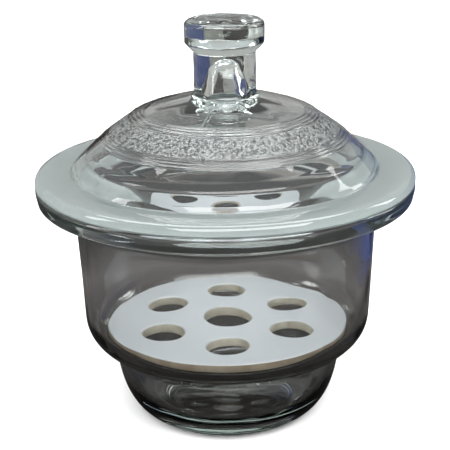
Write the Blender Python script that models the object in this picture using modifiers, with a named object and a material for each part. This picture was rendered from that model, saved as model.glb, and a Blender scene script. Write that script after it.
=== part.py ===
"""Glass desiccator with a ground flange, a knobbed lid and a perforated porcelain plate.

Nominal size 150 mm: the plate measures 140 mm across and the flanges 215 mm. Three loose pieces are
stacked on one vertical axis. The base stands on its foot ring, the plate rests on the ledge at the
waist of the base, and the lid rests on the base's ground flange. Metres, +Z up, with the origin at
the centre of the foot ring's resting face.
"""
import math

import bpy
from mathutils import Vector

# Overall sizes
FLANGE_RADIUS = 0.1075
MOUTH_RADIUS = 0.0817
BASE_HEIGHT = 0.1400
GROUND_GAP = 0.0003
TURN_STEPS = 48
FILLET_STEPS = 2
CURVE_STEPS = 5

# Base: foot, lower bowl, waist with its ledge, upper wall and flange
FOOT_RADIUS = 0.0460
FOOT_INNER_RADIUS = 0.0380
FOOT_HOLLOW_HEIGHT = 0.0040
BOWL_FLOOR_HEIGHT = 0.0085
BOWL_FLOOR_RADIUS = 0.0400
BOWL_RADIUS = 0.0662
BOWL_INNER_RADIUS = 0.0614
BOWL_TOP_HEIGHT = 0.0385
WAIST_RADIUS = 0.0755
WAIST_HEIGHT = 0.0458
LEDGE_RADIUS = 0.0715
LEDGE_INNER_RADIUS = 0.0632
LEDGE_HEIGHT = 0.0485
SHOULDER_HEIGHT = 0.0600
SHOULDER_RADIUS = 0.0829
WALL_FOOT_INNER_RADIUS = 0.0791
WALL_TOP_RADIUS = 0.0860
BASE_FLANGE_EDGE_HEIGHT = 0.1305
BASE_FLANGE_ROOT_HEIGHT = 0.1275
BASE_FLANGE_EDGE_RADIUS = 0.1062

# Lid: heights are above its own ground face
LID_MOUTH_RADIUS = 0.0773
LID_MOUTH_BULGE_RADIUS = 0.0778
LID_MOUTH_TOP_RADIUS = 0.0777
LID_MOUTH_TOP_HEIGHT = 0.0126
LID_FLANGE_THICKNESS = 0.0057
DOME_FOOT_RADIUS = 0.0862
DOME_FOOT_HEIGHT = 0.0086
DOME_SHOULDER_RADIUS = 0.0754
DOME_SHOULDER_HEIGHT = 0.0190
DOME_RING_RADIUS = 0.0513
DOME_RING_HEIGHT = 0.0374
DOME_TOP_RADIUS = 0.0205
DOME_TOP_HEIGHT = 0.0469
NECK_RADIUS = 0.01735
NECK_FOOT_HEIGHT = 0.0476
NECK_TOP_HEIGHT = 0.0720
KNOB_RADIUS = 0.0221
KNOB_LOWER_HEIGHT = 0.0766
KNOB_TOP_HEIGHT = 0.0896
INNER_RING_RADIUS = 0.0491
INNER_RING_HEIGHT = 0.0333
CAVITY_RADIUS = 0.0100
CAVITY_MOUTH_HEIGHT = 0.0420
CAVITY_TOP_HEIGHT = 0.0686

# Plate: heights are above its own resting face
PLATE_RADIUS = 0.0700
PLATE_THICKNESS = 0.0060
PLATE_EDGE_ROUNDING = 0.0010
CENTRE_HOLE_RADIUS = 0.0140
RING_HOLE_RADIUS = 0.0121
RING_HOLE_COUNT = 6
RING_HOLE_CIRCLE_RADIUS = 0.0420
RING_HOLE_FIRST_ANGLE = math.radians(90)
HOLE_SIDES = 32

LID_REST_HEIGHT = BASE_HEIGHT + GROUND_GAP
PLATE_REST_HEIGHT = LEDGE_HEIGHT + GROUND_GAP


def clear_scene():
    for existing in list(bpy.data.objects):
        bpy.data.objects.remove(existing, do_unlink=True)


def new_collection(name):
    collection = bpy.data.collections.new(name)
    bpy.context.scene.collection.children.link(collection)
    return collection


def new_material(name, colour, roughness, transmission):
    material = bpy.data.materials.new(name)
    material.use_nodes = True
    shader = material.node_tree.nodes["Principled BSDF"]
    shader.inputs["Base Color"].default_value = (*colour, 1.0)
    shader.inputs["Roughness"].default_value = roughness
    shader.inputs["Metallic"].default_value = 0.0
    shader.inputs["Transmission Weight"].default_value = transmission
    shader.inputs["IOR"].default_value = 1.5
    return material


def curve(start, start_handle, end_handle, end, steps=CURVE_STEPS):
    """Points of a cubic Bezier curve in the (radius, height) plane, both ends included."""
    points = []
    for step in range(steps + 1):
        t = step / steps
        s = 1 - t
        weights = (s ** 3, 3 * s * s * t, 3 * s * t * t, t ** 3)
        handles = (start, start_handle, end_handle, end)
        radius = sum(weight * handle[0] for weight, handle in zip(weights, handles))
        height = sum(weight * handle[1] for weight, handle in zip(weights, handles))
        points.append((radius, height))
    return points


def fillet(before, corner, after, rounding):
    """Points of the arc that rounds the corner between its two neighbours."""
    before, corner, after = Vector(before[:2]), Vector(corner[:2]), Vector(after[:2])
    to_before = (before - corner).normalized()
    to_after = (after - corner).normalized()
    half_angle = to_before.angle(to_after) / 2
    reach = rounding / math.tan(half_angle)
    centre = corner + (to_before + to_after).normalized() * rounding / math.sin(half_angle)
    start = corner + to_before * reach - centre
    end = corner + to_after * reach - centre
    start_angle = math.atan2(start.y, start.x)
    turn = math.remainder(math.atan2(end.y, end.x) - start_angle, math.tau)
    points = []
    for step in range(FILLET_STEPS + 1):
        angle = start_angle + turn * step / FILLET_STEPS
        points.append((centre.x + rounding * math.cos(angle), centre.y + rounding * math.sin(angle)))
    return points


def outline(corners):
    """Turn (radius, height) points into an outline; a third value rounds that corner."""
    points = []
    for index, corner in enumerate(corners):
        if len(corner) == 2:
            points.append(corner)
        else:
            following = corners[(index + 1) % len(corners)]
            points.extend(fillet(corners[index - 1], corner, following, corner[2]))
    return points


def turned_part(name, points, closed, rest_height, material, collection):
    """Turn an outline around the Z axis with a Screw modifier."""
    edges = [(index, index + 1) for index in range(len(points) - 1)]
    if closed:
        edges.append((len(points) - 1, 0))
    mesh = bpy.data.meshes.new(name)
    mesh.from_pydata([(radius, 0.0, height) for radius, height in points], edges, [])
    mesh.materials.append(material)
    part = bpy.data.objects.new(name, mesh)
    part.location = (0.0, 0.0, rest_height)
    collection.objects.link(part)
    screw = part.modifiers.new("Turn", "SCREW")
    screw.axis = "Z"
    screw.angle = math.tau
    screw.steps = TURN_STEPS
    screw.render_steps = TURN_STEPS
    screw.use_merge_vertices = True
    screw.merge_threshold = 0.00001
    screw.use_smooth_shade = True
    return part


def base_outline():
    """From the middle of the bowl's floor, up the inside, over the flange and down the outside."""
    corners = [(0.0, BOWL_FLOOR_HEIGHT)]
    corners += curve(
        (BOWL_FLOOR_RADIUS, BOWL_FLOOR_HEIGHT),
        (0.0560, BOWL_FLOOR_HEIGHT),
        (0.0600, 0.0225),
        (BOWL_INNER_RADIUS, BOWL_TOP_HEIGHT + 0.0015),
    )
    corners.append((LEDGE_INNER_RADIUS, LEDGE_HEIGHT, 0.0015))
    corners.append((LEDGE_RADIUS, LEDGE_HEIGHT))
    corners += curve(
        (LEDGE_RADIUS + 0.0003, LEDGE_HEIGHT + 0.0005),
        (0.0745, 0.0505),
        (0.0787, 0.0540),
        (WALL_FOOT_INNER_RADIUS, SHOULDER_HEIGHT + 0.0020),
        steps=3,
    )
    corners.append((MOUTH_RADIUS, BASE_HEIGHT, 0.0015))
    corners.append((FLANGE_RADIUS, BASE_HEIGHT, 0.0018))
    corners.append((FLANGE_RADIUS, BASE_HEIGHT - 0.0035))
    corners.append((BASE_FLANGE_EDGE_RADIUS, BASE_FLANGE_EDGE_HEIGHT, 0.0022))
    corners.append((WALL_TOP_RADIUS, BASE_FLANGE_ROOT_HEIGHT, 0.0080))
    corners += curve(
        (SHOULDER_RADIUS, SHOULDER_HEIGHT),
        (0.0826, 0.0553),
        (0.0812, 0.0506),
        (WAIST_RADIUS + 0.0004, WAIST_HEIGHT + 0.0004),
        steps=3,
    )
    corners.append((WAIST_RADIUS, WAIST_HEIGHT))
    corners.append((BOWL_RADIUS + 0.0010, WAIST_HEIGHT - 0.0030, 0.0025))
    corners += curve(
        (BOWL_RADIUS, BOWL_TOP_HEIGHT),
        (0.0638, 0.0220),
        (0.0605, 0.0050),
        (FOOT_RADIUS, 0.0),
    )
    corners += curve(
        (FOOT_INNER_RADIUS, 0.0),
        (0.0330, 0.0030),
        (0.0180, FOOT_HOLLOW_HEIGHT),
        (0.0, FOOT_HOLLOW_HEIGHT),
        steps=3,
    )
    return outline(corners)


def lid_outline():
    """From the top of the knob, down the outside, under the flange and up into the knob's cavity."""
    corners = [
        (0.0, KNOB_TOP_HEIGHT),
        (KNOB_RADIUS, KNOB_TOP_HEIGHT, 0.0032),
        (KNOB_RADIUS, KNOB_LOWER_HEIGHT, 0.0024),
        (NECK_RADIUS, NECK_TOP_HEIGHT, 0.0018),
        (NECK_RADIUS, NECK_FOOT_HEIGHT, 0.0025),
    ]
    corners += curve(
        (DOME_TOP_RADIUS, DOME_TOP_HEIGHT),
        (0.0300, 0.0447),
        (0.0410, 0.0420),
        (DOME_RING_RADIUS, DOME_RING_HEIGHT),
        steps=3,
    )
    corners += curve(
        (DOME_RING_RADIUS, DOME_RING_HEIGHT),
        (0.0600, 0.0320),
        (0.0700, 0.0240),
        (DOME_SHOULDER_RADIUS, DOME_SHOULDER_HEIGHT),
    )[1:]
    corners += curve(
        (DOME_SHOULDER_RADIUS, DOME_SHOULDER_HEIGHT),
        (0.0785, 0.0158),
        (0.0842, 0.0108),
        (DOME_FOOT_RADIUS, DOME_FOOT_HEIGHT),
        steps=3,
    )[1:]
    corners += [
        (DOME_FOOT_RADIUS + 0.0010, LID_FLANGE_THICKNESS),
        (FLANGE_RADIUS, LID_FLANGE_THICKNESS, 0.0040),
        (FLANGE_RADIUS, 0.0, 0.0010),
        (LID_MOUTH_RADIUS, 0.0, 0.0012),
        (LID_MOUTH_BULGE_RADIUS, LID_MOUTH_TOP_HEIGHT / 2),
        (LID_MOUTH_TOP_RADIUS, LID_MOUTH_TOP_HEIGHT, 0.0015),
    ]
    corners += curve(
        (LID_MOUTH_TOP_RADIUS - 0.0015, LID_MOUTH_TOP_HEIGHT + 0.0013),
        (0.0712, 0.0186),
        (0.0573, 0.0292),
        (INNER_RING_RADIUS, INNER_RING_HEIGHT),
    )
    corners += curve(
        (INNER_RING_RADIUS, INNER_RING_HEIGHT),
        (0.0400, 0.0376),
        (0.0300, 0.0400),
        (0.0160, 0.0415),
        steps=3,
    )[1:]
    corners += [
        (CAVITY_RADIUS, CAVITY_MOUTH_HEIGHT, 0.0025),
    ]
    corners += curve(
        (CAVITY_RADIUS - 0.0009, CAVITY_MOUTH_HEIGHT + 0.0050),
        (0.0072, 0.0560),
        (0.0062, CAVITY_TOP_HEIGHT),
        (0.0, CAVITY_TOP_HEIGHT),
    )
    return outline(corners)


def plate_outline():
    """A flat disc with a hole at its centre and slightly rounded rims."""
    return outline([
        (CENTRE_HOLE_RADIUS, PLATE_THICKNESS, PLATE_EDGE_ROUNDING),
        (PLATE_RADIUS, PLATE_THICKNESS, PLATE_EDGE_ROUNDING),
        (PLATE_RADIUS, 0.0, PLATE_EDGE_ROUNDING),
        (CENTRE_HOLE_RADIUS, 0.0, PLATE_EDGE_ROUNDING),
    ])


def hole_cutter(name, centre_x, centre_y, collection):
    """A cylinder that stands well clear of both faces of the plate."""
    bpy.ops.mesh.primitive_cylinder_add(
        vertices=HOLE_SIDES,
        radius=RING_HOLE_RADIUS,
        depth=PLATE_THICKNESS * 3,
        location=(centre_x, centre_y, PLATE_REST_HEIGHT + PLATE_THICKNESS / 2),
    )
    cutter = bpy.context.active_object
    cutter.name = name
    for owner in list(cutter.users_collection):
        owner.objects.unlink(cutter)
    collection.objects.link(cutter)
    cutter.hide_render = True
    cutter.display_type = "WIRE"
    return cutter


def cut_ring_holes(plate, cutter_collection):
    """Cut the ring of holes around the centre hole."""
    for index in range(RING_HOLE_COUNT):
        angle = RING_HOLE_FIRST_ANGLE + math.tau * index / RING_HOLE_COUNT
        cutter = hole_cutter(
            f"ring_hole_cutter_{index + 1}",
            RING_HOLE_CIRCLE_RADIUS * math.cos(angle),
            RING_HOLE_CIRCLE_RADIUS * math.sin(angle),
            cutter_collection,
        )
        cut = plate.modifiers.new(f"Ring hole {index + 1}", "BOOLEAN")
        cut.operation = "DIFFERENCE"
        cut.solver = "EXACT"
        cut.object = cutter


def build():
    clear_scene()
    parts = new_collection("Glass desiccator")
    cutters = new_collection("Cutters")
    base_glass = new_material("base_glass", (0.72, 0.80, 0.79), 0.03, 1.0)
    lid_glass = new_material("lid_glass", (0.76, 0.83, 0.82), 0.03, 1.0)
    porcelain = new_material("porcelain", (0.80, 0.79, 0.77), 0.22, 0.0)

    turned_part("base_bowl", base_outline(), False, 0.0, base_glass, parts)
    turned_part("lid", lid_outline(), False, LID_REST_HEIGHT, lid_glass, parts)
    plate = turned_part("porcelain_plate", plate_outline(), True, PLATE_REST_HEIGHT, porcelain, parts)
    cut_ring_holes(plate, cutters)


build()
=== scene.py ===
"""Looks of the glass desiccator: pressed glass with ground flanges, and a glazed porcelain plate."""
import math

import bpy
import numpy as np
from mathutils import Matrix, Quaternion, Vector, noise


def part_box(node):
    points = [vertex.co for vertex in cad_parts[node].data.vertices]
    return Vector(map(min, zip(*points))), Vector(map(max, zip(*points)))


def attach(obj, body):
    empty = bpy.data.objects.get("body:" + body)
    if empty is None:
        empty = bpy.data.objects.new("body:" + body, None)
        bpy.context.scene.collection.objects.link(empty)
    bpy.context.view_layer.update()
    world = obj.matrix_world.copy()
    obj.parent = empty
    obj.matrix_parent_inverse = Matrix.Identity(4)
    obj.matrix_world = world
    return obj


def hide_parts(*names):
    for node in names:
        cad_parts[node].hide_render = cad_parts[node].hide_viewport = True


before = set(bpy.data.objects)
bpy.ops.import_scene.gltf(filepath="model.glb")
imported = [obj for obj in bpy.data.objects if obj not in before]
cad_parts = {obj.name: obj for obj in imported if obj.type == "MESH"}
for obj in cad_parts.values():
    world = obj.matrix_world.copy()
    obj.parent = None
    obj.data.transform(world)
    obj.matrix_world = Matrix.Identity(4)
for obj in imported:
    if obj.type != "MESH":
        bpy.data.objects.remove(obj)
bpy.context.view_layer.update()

_, base_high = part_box("base_bowl")
lid_low, lid_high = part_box("lid")
plate_low, plate_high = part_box("porcelain_plate")

FLANGE_RADIUS = base_high[0]
BASE_HEIGHT = base_high[2]
LID_REST_HEIGHT = lid_low[2]
KNOB_TOP_HEIGHT = lid_high[2] - lid_low[2]
PLATE_RADIUS = plate_high[0]

LONGEST_STEP = 0.0025
SAME_POINT = 1e-6


# --- outlines -------------------------------------------------------------------------------------

def curve(start, start_handle, end_handle, end, steps=20):
    """Points of a cubic Bezier curve in the (radius, height) plane, both ends included."""
    handles = np.array((start, start_handle, end_handle, end))
    t = np.linspace(0.0, 1.0, steps + 1)[:, None]
    s = 1.0 - t
    weights = (s ** 3, 3 * s * s * t, 3 * s * t * t, t ** 3)
    points = sum(weight * handle for weight, handle in zip(weights, handles))
    return [tuple(point) for point in points]


def fillet(before, corner, after, rounding, steps=7):
    """Points of the arc that rounds the corner between its two neighbours."""
    before, corner, after = Vector(before[:2]), Vector(corner[:2]), Vector(after[:2])
    to_before = (before - corner).normalized()
    to_after = (after - corner).normalized()
    half_angle = to_before.angle(to_after) / 2
    reach = rounding / math.tan(half_angle)
    centre = corner + (to_before + to_after).normalized() * rounding / math.sin(half_angle)
    start = corner + to_before * reach - centre
    end = corner + to_after * reach - centre
    start_angle = math.atan2(start.y, start.x)
    turn = math.remainder(math.atan2(end.y, end.x) - start_angle, math.tau)
    angles = [start_angle + turn * step / steps for step in range(steps + 1)]
    return [(centre.x + rounding * math.cos(a), centre.y + rounding * math.sin(a)) for a in angles]


def outline(corners):
    """Turn (radius, height) points into an outline; a third value rounds that corner."""
    points = []
    for index, corner in enumerate(corners):
        if len(corner) == 2:
            points.append(corner)
        else:
            following = corners[(index + 1) % len(corners)]
            points.extend(fillet(corners[index - 1], corner, following, corner[2]))
    return points


def resample(points, spacing):
    """Add points to the outline's straight stretches, so that no step is longer than the spacing."""
    result = [points[0]]
    for previous, point in zip(points, points[1:]):
        length = math.dist(previous, point)
        if length < SAME_POINT:
            continue
        steps = max(1, math.ceil(length / spacing))
        for step in range(1, steps + 1):
            t = step / steps
            radius = previous[0] + (point[0] - previous[0]) * t
            height = previous[1] + (point[1] - previous[1]) * t
            result.append((radius, height))
    return result


def outline_normals(points):
    """Unit normals of an outline that runs down the outer side, pointing away from the glass."""
    path = np.array(points)
    tangents = np.gradient(path, axis=0)
    normals = np.stack((-tangents[:, 1], tangents[:, 0]), axis=1)
    return normals / np.linalg.norm(normals, axis=1)[:, None]


def ring_part(ring, side, sides):
    """The points of a ring from the start of one side to the start of the next, both included."""
    if len(ring) == 1:
        return list(ring)
    first = side * len(ring) // sides
    last = (side + 1) * len(ring) // sides
    return [ring[index % len(ring)] for index in range(first, last + 1)]


def ring_faces(upper, lower):
    """Faces between two rings. One may be a single point, or have a multiple of the other's points."""
    sides = min(len(upper), len(lower))
    if sides == 1:
        sides = max(len(upper), len(lower))
    faces = []
    for side in range(sides):
        upper_part = ring_part(upper, side, sides)
        lower_part = ring_part(lower, side, sides)
        faces.append(upper_part[:1] + lower_part + upper_part[:0:-1])
    return faces


def turned_mesh(name, points, ring_segments, push, material_index):
    """Turn an outline around Z. ring_segments(radius, normal) gives the number of points of each ring,
    push(radius, height, angles, normal) moves them along the outline's normal,
    and material_index(radius, height, normal) picks the material of the faces below the ring."""
    normals = outline_normals(points)
    vertices, rings = [], []
    for (radius, height), normal in zip(points, normals):
        if radius < SAME_POINT:
            rings.append([len(vertices)])
            vertices.append((0.0, 0.0, height))
            continue
        segments = ring_segments(radius, normal)
        angles = np.arange(segments) * math.tau / segments
        offset = push(radius, height, angles, normal)
        ring_radius = radius + normal[0] * offset
        ring_height = height + normal[1] * offset + np.zeros(segments)
        rings.append(list(range(len(vertices), len(vertices) + segments)))
        vertices.extend(zip(ring_radius * np.cos(angles), ring_radius * np.sin(angles), ring_height))
    faces, slots = [], []
    for index, (upper, lower) in enumerate(zip(rings, rings[1:])):
        middle_radius = (points[index][0] + points[index + 1][0]) / 2
        middle_height = (points[index][1] + points[index + 1][1]) / 2
        slot = material_index(middle_radius, middle_height, normals[index])
        new_faces = ring_faces(upper, lower)
        faces.extend(new_faces)
        slots.extend([slot] * len(new_faces))
    mesh = bpy.data.meshes.new(name)
    mesh.from_pydata(vertices, [], faces)
    mesh.polygons.foreach_set("material_index", slots)
    mesh.shade_smooth()
    mesh.update()
    return mesh


def add_piece(name, mesh, materials, place_height, body, node):
    """Show a mesh at a height on the axis, riding on a body and standing for a node."""
    piece = bpy.data.objects.new(name, mesh)
    for material in materials:
        mesh.materials.append(material)
    piece.location = (0.0, 0.0, place_height)
    bpy.context.scene.collection.objects.link(piece)
    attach(piece, body)
    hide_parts(node)
    return piece


# --- materials ------------------------------------------------------------------------------------

GLASS_IOR = 1.52


def new_material(name):
    """A node material, with its nodes, its links and its Principled shader."""
    material = bpy.data.materials.new(name)
    material.use_nodes = True
    nodes = material.node_tree.nodes
    return material, nodes, material.node_tree.links, nodes["Principled BSDF"]


def add_noise(nodes, links, scale, detail=3.0, stretch=(1.0, 1.0, 1.0)):
    """A noise texture on object coordinates, whose scale counts features per metre."""
    coordinates = nodes.new("ShaderNodeTexCoord")
    mapping = nodes.new("ShaderNodeMapping")
    mapping.inputs["Scale"].default_value = stretch
    texture = nodes.new("ShaderNodeTexNoise")
    texture.inputs["Scale"].default_value = scale
    texture.inputs["Detail"].default_value = detail
    links.new(coordinates.outputs["Object"], mapping.inputs["Vector"])
    links.new(mapping.outputs["Vector"], texture.inputs["Vector"])
    return texture.outputs["Fac"]


def add_range(nodes, links, source, low, high, source_low=0.3, source_high=0.7):
    """Map a range of the source, by default the middle of a noise texture's, to the given values."""
    remap = nodes.new("ShaderNodeMapRange")
    remap.inputs["From Min"].default_value = source_low
    remap.inputs["From Max"].default_value = source_high
    remap.inputs["To Min"].default_value = low
    remap.inputs["To Max"].default_value = high
    links.new(source, remap.inputs["Value"])
    return remap.outputs["Result"]


def add_ramp(nodes, links, source, *stops):
    """A colour ramp over the source, through (position, colour) stops in rising order."""
    ramp = nodes.new("ShaderNodeValToRGB")
    elements = ramp.color_ramp.elements
    elements[0].position = stops[0][0]
    elements[1].position = stops[-1][0]
    for position, _ in stops[1:-1]:
        elements.new(position)
    for element, (position, colour) in zip(elements, stops):
        element.color = (*colour, 1.0)
    links.new(source, ramp.inputs["Fac"])
    return ramp.outputs["Color"]


def add_bump(nodes, links, height, distance):
    """A normal bent by the height texture, whose full range is the distance in metres."""
    bump = nodes.new("ShaderNodeBump")
    bump.inputs["Distance"].default_value = distance
    links.new(height, bump.inputs["Height"])
    return bump.outputs["Normal"]


def add_glass_body(nodes, links):
    """The green of the glass grows with the depth that light travels through it."""
    absorption = nodes.new("ShaderNodeVolumeAbsorption")
    absorption.inputs["Color"].default_value = (0.42, 0.72, 0.64, 1.0)
    absorption.inputs["Density"].default_value = 6.0
    output = next(node for node in nodes if node.type == "OUTPUT_MATERIAL")
    links.new(absorption.outputs["Volume"], output.inputs["Volume"])


def clear_glass(name):
    """Fire-polished pressed glass: long shallow ripples and a faint haze."""
    material, nodes, links, shader = new_material(name)
    shader.inputs["Base Color"].default_value = (0.985, 0.995, 0.99, 1.0)
    shader.inputs["Transmission Weight"].default_value = 1.0
    shader.inputs["IOR"].default_value = GLASS_IOR
    ripples = add_noise(nodes, links, 45.0, detail=1.0, stretch=(1.0, 1.0, 0.35))
    haze = add_noise(nodes, links, 160.0)
    links.new(add_bump(nodes, links, ripples, 0.0004), shader.inputs["Normal"])
    links.new(add_range(nodes, links, haze, 0.0, 0.04), shader.inputs["Roughness"])
    add_glass_body(nodes, links)
    return material


def stippled_glass(name):
    """The dome's band: small irregular facets pressed by the mould, frosted, with painted shade darkening
    the low pits between them.
    """
    material, nodes, links, shader = new_material(name)
    shader.inputs["Transmission Weight"].default_value = 0.72
    shader.inputs["IOR"].default_value = GLASS_IOR
    speckle = add_noise(nodes, links, 620.0, detail=2.5)
    wear = add_noise(nodes, links, 300.0)
    # The ramp's dark stop is painted shade: it darkens the low pits of the same speckle that bumps the
    # surface.
    frost = add_ramp(nodes, links, speckle, (0.44, (0.07, 0.07, 0.07)), (0.51, (0.42, 0.45, 0.44)))
    links.new(frost, shader.inputs["Base Color"])
    links.new(add_bump(nodes, links, speckle, 0.0010), shader.inputs["Normal"])
    links.new(add_range(nodes, links, wear, 0.08, 0.30), shader.inputs["Roughness"])
    add_glass_body(nodes, links)
    return material


def ground_glass(name):
    """A finely ground face: it scatters most light and lets the rest through blurred."""
    material, nodes, links, shader = new_material(name)
    shader.inputs["Transmission Weight"].default_value = 0.35
    shader.inputs["IOR"].default_value = GLASS_IOR
    cloud = add_noise(nodes, links, 30.0, detail=4.0)
    grain = add_noise(nodes, links, 2500.0, detail=2.0)
    frost = add_ramp(nodes, links, cloud, (0.3, (0.46, 0.52, 0.52)), (0.7, (0.52, 0.57, 0.567)))
    links.new(frost, shader.inputs["Base Color"])
    links.new(add_bump(nodes, links, grain, 0.0002), shader.inputs["Normal"])
    links.new(add_range(nodes, links, cloud, 0.45, 0.6), shader.inputs["Roughness"])
    add_glass_body(nodes, links)
    return material


def porcelain_glaze(name):
    """White glaze, slightly bluish and very slightly uneven."""
    material, nodes, links, shader = new_material(name)
    shader.inputs["Coat Weight"].default_value = 0.35
    shader.inputs["Coat Roughness"].default_value = 0.15
    shader.inputs["Specular IOR Level"].default_value = 0.5
    cloud = add_noise(nodes, links, 25.0)
    wear = add_noise(nodes, links, 40.0, detail=1.0)
    waves = add_noise(nodes, links, 30.0, detail=0.0)
    white = add_ramp(nodes, links, cloud, (0.3, (0.80, 0.83, 0.87)), (0.7, (0.82, 0.85, 0.89)))
    links.new(white, shader.inputs["Base Color"])
    links.new(add_range(nodes, links, wear, 0.27, 0.29, 0.0, 1.0), shader.inputs["Roughness"])
    links.new(add_bump(nodes, links, waves, 0.00002), shader.inputs["Normal"])
    return material


def porcelain_body(name, dark, light):
    """Bare fired clay: matt, between the two given colours."""
    material, nodes, links, shader = new_material(name)
    cloud = add_noise(nodes, links, 120.0, detail=5.0)
    grain = add_noise(nodes, links, 1500.0)
    clay_colour = add_ramp(nodes, links, cloud, (0.3, dark), (0.7, light))
    links.new(clay_colour, shader.inputs["Base Color"])
    links.new(add_range(nodes, links, cloud, 0.55, 0.75), shader.inputs["Roughness"])
    links.new(add_bump(nodes, links, grain, 0.0002), shader.inputs["Normal"])
    return material


# --- base -----------------------------------------------------------------------------------------

BASE_SEGMENTS = 320
MOUTH_RADIUS = 0.0817
LEDGE_HEIGHT = 0.0485
BOWL_FLOOR_HEIGHT = 0.0085
FOOT_HEIGHT = 0.0005
POLISHED_LIP = 0.0010
FLAT_DEPTH = 0.0003
GROUND_DEPTH = 0.0002


def base_outline():
    """From the middle of the bowl's floor, up the inside, over the flange and down the outside."""
    corners = [(0.0, BOWL_FLOOR_HEIGHT)]
    corners += curve(
        (0.0400, BOWL_FLOOR_HEIGHT), (0.0560, BOWL_FLOOR_HEIGHT), (0.0600, 0.0225), (0.0614, 0.0400)
    )
    corners.append((0.0632, LEDGE_HEIGHT, 0.0015))
    corners.append((0.0712, LEDGE_HEIGHT))
    corners += curve((0.0718, 0.0490), (0.0745, 0.0505), (0.0787, 0.0540), (0.0791, 0.0620))
    corners.append((MOUTH_RADIUS, BASE_HEIGHT, 0.0015))
    corners.append((FLANGE_RADIUS, BASE_HEIGHT, 0.0018))
    corners.append((FLANGE_RADIUS - 0.0001, BASE_HEIGHT - 0.0035))
    corners.append((0.1062, 0.1305, 0.0022))
    corners.append((0.0860, 0.1275, 0.0080))
    corners += curve((0.0829, 0.0600), (0.0826, 0.0553), (0.0812, 0.0506), (0.0759, 0.0462))
    corners.append((0.0755, 0.0458))
    corners.append((0.0672, 0.0428, 0.0025))
    corners += curve((0.0662, 0.0385), (0.0638, 0.0220), (0.0605, 0.0050), (0.0460, 0.0))
    corners += curve((0.0380, 0.0), (0.0330, 0.0030), (0.0180, 0.0040), (0.0, 0.0040))
    return resample(outline(corners), LONGEST_STEP)


def base_segments(radius, normal):
    """The base has no fine relief, so all its rings have the same number of points."""
    return BASE_SEGMENTS


def base_push(radius, height, angles, normal):
    """Pressed glass is never quite true: slow waves everywhere but on the flange's top and the foot."""
    if height > BASE_HEIGHT - FLAT_DEPTH or height < FOOT_HEIGHT:
        return np.zeros(len(angles))
    wave = 0.00006 * np.sin(3 * angles + 90 * height)
    return wave + 0.00004 * np.sin(7 * angles - 150 * height + 1.0)


def base_material_index(radius, height, normal):
    """Ground glass on the top face of the flange, clear glass elsewhere."""
    return 1 if height > BASE_HEIGHT - GROUND_DEPTH and radius > MOUTH_RADIUS + POLISHED_LIP else 0


def add_base(glass, ground):
    mesh = turned_mesh("base_glass", base_outline(), base_segments, base_push, base_material_index)
    piece = add_piece("base_glass", mesh, [glass, ground], 0.0, "base", "base_bowl")


# --- lid ------------------------------------------------------------------------------------------

LID_SEGMENTS = 192
FINE_LID_SEGMENTS = 3 * LID_SEGMENTS
FINE_STEP = 0.00036
FINE_START = 0.044
FINE_END = 0.072
FLANGE_THICKNESS = 0.0057
KNOB_RADIUS = 0.0221
NECK_RADIUS = 0.01735
NECK_FILLET_END = 0.018
KNOB_LEAN = 0.0009
LEAN_START = 0.036
LEAN_LENGTH = 0.012
LID_MOUTH_RADIUS = 0.0773
CAVITY_HEIGHT = 0.0686
DOME_RING = (0.0513, 0.0374)
DOME_SHOULDER = (0.0754, 0.0190)
DOME_FOOT_RADIUS = 0.0862
INNER_RING = (0.0491, 0.0333)
UPPER_RIDGES = (0.0466, 0.0487, 0.0508, 0.0527)
LOWER_RIDGES = (0.0665, 0.0680, 0.0697)
GROOVE_RADIUS = 0.0653
RIDGE_HEIGHT = 0.00028
RIDGE_WIDTH = 0.00045
STIPPLE_START = 0.0535
STIPPLE_END = 0.0648
STIPPLE_DEPTH = 0.0005
STIPPLE_SIZE = 0.0024
STIPPLE_MIDDLE = 0.35
STIPPLE_FADE = 0.001
SEAM_ANGLE = math.radians(-104.5)
SEAM_HEIGHT = 0.0003
SEAM_WIDTH = 0.0005
KNOB_START = 0.0500
CRUMPLE_DEPTH = 0.00022
CRUMPLE_SIZE = 0.0055
WRINKLE_SIZE = 0.0022


def lid_outline():
    """From the top of the knob, down the outside, under the flange and up into the knob's cavity."""
    outer = [
        (0.0, KNOB_TOP_HEIGHT - 0.0006),
        (0.0150, KNOB_TOP_HEIGHT - 0.0004),
        (KNOB_RADIUS, KNOB_TOP_HEIGHT, 0.0032),
        (KNOB_RADIUS, 0.0766, 0.0026),
        (NECK_RADIUS, 0.0720, 0.0018),
        (NECK_RADIUS, 0.0476, 0.0030),
    ]
    outer += curve((0.0205, 0.0469), (0.0300, 0.0447), (0.0410, 0.0420), DOME_RING)
    outer += curve(DOME_RING, (0.0600, 0.0320), (0.0700, 0.0240), DOME_SHOULDER, 30)[1:]
    outer += curve(DOME_SHOULDER, (0.0785, 0.0158), (0.0842, 0.0108), (DOME_FOOT_RADIUS, 0.0086))[1:]
    flange = [
        (DOME_FOOT_RADIUS + 0.0010, FLANGE_THICKNESS, 0.0008),
        (FLANGE_RADIUS, FLANGE_THICKNESS, 0.0040),
        (FLANGE_RADIUS, 0.0, 0.0010),
        (LID_MOUTH_RADIUS, 0.0, 0.0012),
    ]
    flange += curve((0.0774, 0.0018), (0.0777, 0.0050), (0.0779, 0.0080), (0.0777, 0.0115))
    flange.append((0.0774, 0.0126))
    inner = curve((0.0762, 0.0138), (0.0712, 0.0186), (0.0573, 0.0292), INNER_RING)
    inner += curve(INNER_RING, (0.0400, 0.0376), (0.0300, 0.0400), (0.0160, 0.0415), 12)[1:]
    inner.append((0.0100, 0.0420, 0.0025))
    cavity = curve((0.0091, 0.0470), (0.0072, 0.0560), (0.0062, CAVITY_HEIGHT), (0.0, CAVITY_HEIGHT), 14)
    points = resample(outline(outer + flange + inner + cavity), LONGEST_STEP)
    return refine_dome(points)


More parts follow.
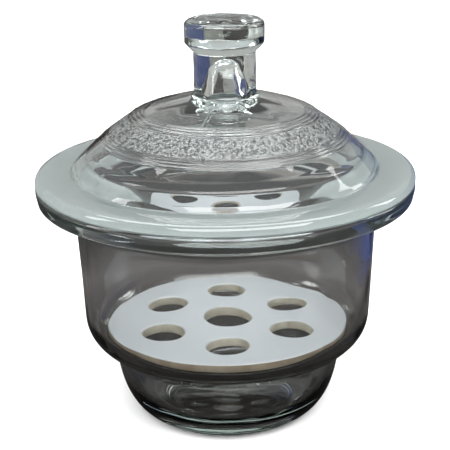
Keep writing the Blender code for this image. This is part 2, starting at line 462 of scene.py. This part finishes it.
def refine_dome(points):
    """Step finely along the outer dome, where the ridges and the stippled band are."""
    result = [points[0]]
    for previous, point in zip(points, points[1:]):
        runs_down = point[0] > previous[0] and point[1] < previous[1]
        if runs_down and FINE_START < point[0] < FINE_END:
            result += resample([previous, point], FINE_STEP)[1:]
        else:
            result.append(point)
    return result


def lid_segments(radius, normal):
    """The stippled band and the mould seam need closer points than the rest."""
    facing_up = normal[0] > 0.1 and normal[1] > 0.2
    on_seam = NECK_FILLET_END < radius < UPPER_RIDGES[0]
    on_stipple = STIPPLE_START < radius < STIPPLE_END
    return FINE_LID_SEGMENTS if facing_up and (on_seam or on_stipple) else LID_SEGMENTS


def stipple(radius, height, angles):
    """Irregular humps, which fall off towards the borders between scattered cells."""
    offsets = []
    for angle in angles:
        place = Vector((radius * math.cos(angle), radius * math.sin(angle), height)) / STIPPLE_SIZE
        distances, _ = noise.voronoi(place)
        offsets.append(distances[1] - distances[0] - STIPPLE_MIDDLE)
    return np.array(offsets) * STIPPLE_DEPTH


def crumple(radius, height, angles):
    """The knob cooled in the mould with a wavy, slightly wrinkled skin."""
    places = [Vector((radius * math.cos(a), radius * math.sin(a), height)) for a in angles]
    waves = [
        noise.noise(place / CRUMPLE_SIZE) + 0.5 * noise.noise(place / WRINKLE_SIZE)
        for place in places
    ]
    return np.array(waves) * CRUMPLE_DEPTH


def ring_relief(radius):
    """Height of the moulded rings, with a groove above the lower group."""
    relief = 0.0
    for ridge in UPPER_RIDGES + LOWER_RIDGES:
        relief += RIDGE_HEIGHT * math.exp(-((radius - ridge) / RIDGE_WIDTH) ** 2)
    return relief - RIDGE_HEIGHT * math.exp(-((radius - GROOVE_RADIUS) / RIDGE_WIDTH) ** 2)


def seam_relief(radius, angles):
    """Height of the mould seam, a fine straight ridge down the front of the dome's top."""
    across = radius * np.abs(np.angle(np.exp(1j * (angles - SEAM_ANGLE))))
    return SEAM_HEIGHT * np.exp(-(across / SEAM_WIDTH) ** 2)


def lid_push(radius, height, angles, normal):
    """Slow waves everywhere but on the ground face, wrinkles on the knob, and the dome's relief."""
    if height < FLAT_DEPTH:
        return np.zeros(len(angles))
    offset = 0.00005 * np.sin(3 * angles + 80 * height) + 0.00004 * np.sin(8 * angles - 120 * height)
    if height > KNOB_START:
        return offset + crumple(radius, height, angles)
    facing_out = normal[0] > 0.2 and normal[1] > 0.2
    if not facing_out or not NECK_FILLET_END < radius < DOME_FOOT_RADIUS:
        return offset
    offset = offset + ring_relief(radius)
    if STIPPLE_START < radius < STIPPLE_END:
        edge = min(radius - STIPPLE_START, STIPPLE_END - radius) / STIPPLE_FADE
        offset = offset + stipple(radius, height, angles) * min(edge, 1.0)
    if radius < UPPER_RIDGES[0]:
        offset = offset + seam_relief(radius, angles)
    return offset


def lid_material_index(radius, height, normal):
    """Ground glass under the flange, stippled glass on the dome's band, clear glass elsewhere."""
    if height < GROUND_DEPTH:
        return 1
    if normal[1] > 0.2 and STIPPLE_START < radius < STIPPLE_END:
        return 2
    return 0


def lean_knob(mesh):
    """The knob was pressed a little off the dome's axis."""
    for vertex in mesh.vertices:
        t = min(max((vertex.co.z - LEAN_START) / LEAN_LENGTH, 0.0), 1.0)
        vertex.co.x += KNOB_LEAN * t * t * (3 - 2 * t)


def add_lid(glass, ground, stippled):
    mesh = turned_mesh("lid_glass", lid_outline(), lid_segments, lid_push, lid_material_index)
    lean_knob(mesh)
    piece = add_piece("lid_glass", mesh, [glass, ground, stippled], LID_REST_HEIGHT, "lid", "lid")


# --- plate ----------------------------------------------------------------------------------------

CENTRE_HOLE_RADIUS = 0.0140
RING_HOLE_RADIUS = 0.0121
RING_HOLE_CIRCLE_RADIUS = 0.0420
RIM_ROUNDING = 0.0010
RIM_WIDTH = 0.0015


def add_circle(curve_data, centre_x, centre_y, radius, points=96):
    """A closed polyline circle, which the curve's fill cuts out of the disc around it."""
    spline = curve_data.splines.new("POLY")
    spline.points.add(points - 1)
    spline.use_cyclic_u = True
    for index, point in enumerate(spline.points):
        angle = math.tau * index / points
        point.co = (centre_x + radius * math.cos(angle), centre_y + radius * math.sin(angle), 0.0, 1.0)


def plate_mesh():
    """A disc with seven holes and rounded rims, made as a filled and bevelled flat curve."""
    thickness = plate_high[2] - plate_low[2]
    flat = bpy.data.curves.new("plate_outline", "CURVE")
    flat.dimensions = "2D"
    flat.fill_mode = "BOTH"
    flat.extrude = thickness / 2 - RIM_ROUNDING
    flat.bevel_depth = RIM_ROUNDING
    flat.bevel_resolution = 4
    flat.offset = -RIM_ROUNDING
    add_circle(flat, 0.0, 0.0, PLATE_RADIUS, points=256)
    add_circle(flat, 0.0, 0.0, CENTRE_HOLE_RADIUS)
    for index in range(6):
        angle = math.radians(90 + 60 * index)
        centre = (RING_HOLE_CIRCLE_RADIUS * math.cos(angle), RING_HOLE_CIRCLE_RADIUS * math.sin(angle))
        add_circle(flat, *centre, RING_HOLE_RADIUS)
    holder = bpy.data.objects.new("plate_outline", flat)
    bpy.context.scene.collection.objects.link(holder)
    evaluated = holder.evaluated_get(bpy.context.evaluated_depsgraph_get())
    mesh = bpy.data.meshes.new_from_object(evaluated)
    bpy.data.objects.remove(holder)
    return mesh


def plate_material_index(polygon):
    """Glaze on the upper face and its rounded edges, bare clay elsewhere, browner on the outer rim."""
    if polygon.normal.z > 0.25:
        return 0
    return 2 if polygon.center.xy.length > PLATE_RADIUS - RIM_WIDTH else 1


def add_plate(glaze, clay, rim):
    mesh = plate_mesh()
    mesh.name = "plate_porcelain"
    mesh.materials.clear()
    middle = (plate_low[2] + plate_high[2]) / 2
    piece = add_piece("plate_porcelain", mesh, [glaze, clay, rim], middle, "plate", "porcelain_plate")
    for polygon in mesh.polygons:
        polygon.material_index = plate_material_index(polygon)
        polygon.use_smooth = abs(polygon.normal.z) < 0.99


# --- stage ----------------------------------------------------------------------------------------

CAMERA_PLACE = (-0.0005, -0.6866, 0.3442)
CAMERA_PITCH = math.radians(71.217)
CAMERA_ROLL = math.radians(-0.975)
CAMERA_LENS = 100.54

STAGE_RADIUS = 6.0
FLOOR_HEIGHT = -0.0006
BENCH_HEIGHT = -0.0008
BOARD_HEIGHT = 0.32
NEAR_BOARD_HEIGHT = 0.16
BACKDROP = (0.93, 0.93, 0.93)


def add_camera():
    data = bpy.data.cameras.new("camera")
    data.lens = CAMERA_LENS
    data.sensor_width = 36.0
    data.clip_start = 0.01
    camera = bpy.data.objects.new("camera", data)
    camera.rotation_mode = "QUATERNION"
    tilt = Vector((1.0, 0.0, 0.0))
    camera.rotation_quaternion = Quaternion(tilt, CAMERA_PITCH) @ Quaternion((0.0, 0.0, 1.0), CAMERA_ROLL)
    camera.location = CAMERA_PLACE
    bpy.context.scene.collection.objects.link(camera)
    bpy.context.scene.camera = camera


def matt_material(name, colour, roughness):
    """A plain material of one colour."""
    material, _, _, shader = new_material(name)
    shader.inputs["Base Color"].default_value = (*colour, 1.0)
    shader.inputs["Roughness"].default_value = roughness
    return material


def painted_light_bench_material(name):
    """The bench's colour is painted light and shade for the glass to show: dark near the vessel, a paler
    ring about 0.3 m out, dark again, then pale far away.
    """
    material, nodes, links, shader = new_material(name)
    shader.inputs["Roughness"].default_value = 0.8
    coordinates = nodes.new("ShaderNodeTexCoord")
    centre = nodes.new("ShaderNodeVectorMath")
    centre.inputs[1].default_value = (0.0, 0.06, 0.0)
    distance = nodes.new("ShaderNodeVectorMath")
    distance.operation = "LENGTH"
    links.new(coordinates.outputs["Object"], centre.inputs[0])
    links.new(centre.outputs["Vector"], distance.inputs[0])
    # Each stop is painted light or shade, a brightness for the glass to show at that distance, not the
    # bench's own colour.
    colour = add_ramp(
        nodes, links, distance.outputs["Value"],
        (0.20, (0.045, 0.040, 0.038)),
        (0.30, (0.36, 0.325, 0.32)),
        (0.40, (0.040, 0.038, 0.036)),
        (0.61, (0.035, 0.034, 0.033)),
        (0.91, (0.76, 0.73, 0.69)),
    )
    links.new(colour, shader.inputs["Base Color"])
    return material


def add_stage_face(name, corners, material):
    """One flat face of the stage."""
    mesh = bpy.data.meshes.new(name)
    mesh.from_pydata(corners, [], [tuple(range(len(corners)))])
    mesh.materials.append(material)
    face = bpy.data.objects.new(name, mesh)
    bpy.context.scene.collection.objects.link(face)
    return face


def add_disc(name, height, material, points=64):
    """A wide round face that lies at a height."""
    angles = [math.tau * index / points for index in range(points)]
    ring = [(STAGE_RADIUS * math.cos(a), STAGE_RADIUS * math.sin(a), height) for a in angles]
    return add_stage_face(name, ring, material)


def show_only_in_glass(face):
    """Let only reflections and refractions show the face."""
    face.visible_camera = False
    face.visible_diffuse = False
    face.visible_shadow = False


def add_board(name, start, end, height, colour):
    """An upright board that stands on the bench, behind the vessel or beside it."""
    corners = [(*start, 0.0), (*end, 0.0), (*end, height), (*start, height)]
    show_only_in_glass(add_stage_face(name, corners, matt_material(name, colour, 0.8)))


def add_light(name, place, aim_height, size, power):
    """A rectangular softbox that points at the vessel's axis."""
    data = bpy.data.lights.new(name, "AREA")
    data.shape = "RECTANGLE"
    data.size, data.size_y = size
    data.energy = power
    light = bpy.data.objects.new(name, data)
    light.location = place
    direction = Vector((0.0, 0.0, aim_height)) - Vector(place)
    light.rotation_euler = direction.to_track_quat("-Z", "Y").to_euler()
    bpy.context.scene.collection.objects.link(light)
    return light


def add_world():
    """A grey room, paler towards its ceiling. The camera itself sees an even pale backdrop."""
    world = bpy.data.worlds.new("room")
    bpy.context.scene.world = world
    world.use_nodes = True
    nodes, links = world.node_tree.nodes, world.node_tree.links
    coordinates = nodes.new("ShaderNodeTexCoord")
    split = nodes.new("ShaderNodeSeparateXYZ")
    links.new(coordinates.outputs["Generated"], split.inputs["Vector"])
    height = add_range(nodes, links, split.outputs["Z"], 0.0, 1.0, -0.2, 1.0)
    room = add_ramp(
        nodes, links, height,
        (0.15, (0.29, 0.285, 0.28)),
        (0.50, (0.55, 0.54, 0.53)),
        (1.0, (0.75, 0.77, 0.79)),
    )
    path = nodes.new("ShaderNodeLightPath")
    mix = nodes.new("ShaderNodeMix")
    mix.data_type = "RGBA"
    mix.inputs["B"].default_value = (*BACKDROP, 1.0)
    links.new(path.outputs["Is Camera Ray"], mix.inputs["Factor"])
    links.new(room, mix.inputs["A"])
    links.new(mix.outputs["Result"], nodes["Background"].inputs["Color"])


def add_stage():
    """The floor that the camera sees, and the bench, boards and lights that the glass shows."""
    floor = add_disc("floor", FLOOR_HEIGHT, matt_material("floor", BACKDROP, 0.6))
    floor.visible_transmission = False
    floor.visible_glossy = False
    # The bench shows only in the glass, and its colour is painted light and shade.
    show_only_in_glass(add_disc("bench", BENCH_HEIGHT, painted_light_bench_material("bench")))
    add_board("blue_board", (0.27, 0.75), (0.73, 0.33), BOARD_HEIGHT, (0.013, 0.022, 0.078))
    add_board("near_blue_board", (0.17, 0.24), (0.36, 0.02), NEAR_BOARD_HEIGHT, (0.016, 0.027, 0.095))
    add_board("brown_board", (0.03, 0.80), (-0.33, 0.73), BOARD_HEIGHT, (0.012, 0.008, 0.006))
    add_board("pale_board", (-0.34, 0.72), (-0.85, 0.25), BOARD_HEIGHT, (0.19, 0.185, 0.175))
    add_world()
    overhead = add_light("overhead_softbox", (0.0, 0.50, 1.75), aim_height=0.1, size=(2.2, 0.85), power=40.0)
    overhead.visible_transmission = False
    add_light("front_softbox", (0.25, -1.3, 1.6), aim_height=0.1, size=(2.6, 1.2), power=80.0)
    add_light("left_window", (-1.5, -0.2, 0.9), aim_height=0.12, size=(0.35, 0.9), power=8.0)
    add_light("right_window", (1.4, 0.5, 0.8), aim_height=0.12, size=(0.3, 0.8), power=4.5)
    bpy.context.scene.view_settings.view_transform = "Standard"


glass = clear_glass("clear_glass")
ground = ground_glass("ground_glass")
stippled = stippled_glass("stippled_glass")
add_base(glass, ground)
add_lid(glass, ground, stippled)
glaze = porcelain_glaze("porcelain_glaze")
clay = porcelain_body("porcelain_body", (0.66, 0.60, 0.49), (0.80, 0.75, 0.64))
rim = porcelain_body("porcelain_rim", (0.36, 0.28, 0.20), (0.52, 0.43, 0.33))
add_plate(glaze, clay, rim)
add_camera()
add_stage()
